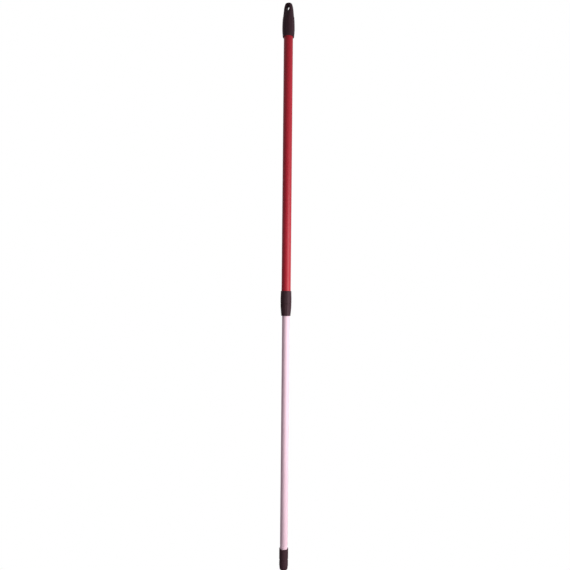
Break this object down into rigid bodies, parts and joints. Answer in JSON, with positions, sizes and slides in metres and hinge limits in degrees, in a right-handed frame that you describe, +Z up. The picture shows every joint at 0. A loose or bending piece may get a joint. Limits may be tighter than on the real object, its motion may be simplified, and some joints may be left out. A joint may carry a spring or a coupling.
{
  "type": "roller extension pole",
  "caption": "Telescopic paint-roller pole: red outer tube, pale inner tube, twist-lock collar, threaded tip and slotted hang cap.",
  "frame": {"origin": "on the pole axis at the threaded tip's nose, with the pole drawn out to full length", "axes": "+Z up the pole axis from the threaded tip to the hang cap, Y along the hang slot through the cap"},
  "size_m": [0.0298, 0.0298, 1.347],
  "materials": {
    "black_plastic": "satin moulded polypropylene",
    "red_paint": "glossy powder coat on steel tube",
    "pale_paint": "glossy pale pinkish white coat on steel tube",
    "natural_nylon": "natural moulded nylon"
  },
  "bodies": {
    "outer": {"hang_cap": "black_plastic", "outer_tube": "red_paint", "collar_body": "black_plastic"},
    "clamp": {"clamp_ring": "natural_nylon"},
    "nut": {"lock_nut": "black_plastic"},
    "bush": {"guide_bush": "natural_nylon"},
    "inner": {"inner_tube": "pale_paint", "top_plug": "natural_nylon", "threaded_tip": "black_plastic"}
  },
  "joints": [
    {"name": "telescope", "type": "slide", "parent": "outer", "child": "bush", "axis": [0, 0, 1], "range_m": [0, 0.548]},
    {"name": "inner_twist", "type": "hinge", "parent": "bush", "child": "inner", "pos_m": [0, 0, 0.662], "axis": [0, 0, 1], "continuous": true},
    {"name": "clamp_slide", "type": "slide", "parent": "outer", "child": "clamp", "axis": [0, 0, 1], "range_m": [-0.003, 0]},
    {"name": "nut_twist", "type": "hinge", "parent": "clamp", "child": "nut", "pos_m": [0, 0, 0.618], "axis": [0, 0, 1], "range_deg": [-360, 0]}
  ],
  "couplings": [
    {"joint": "clamp_slide", "follows": "nut_twist", "m_per_rad": 0.00047746}
  ]
}
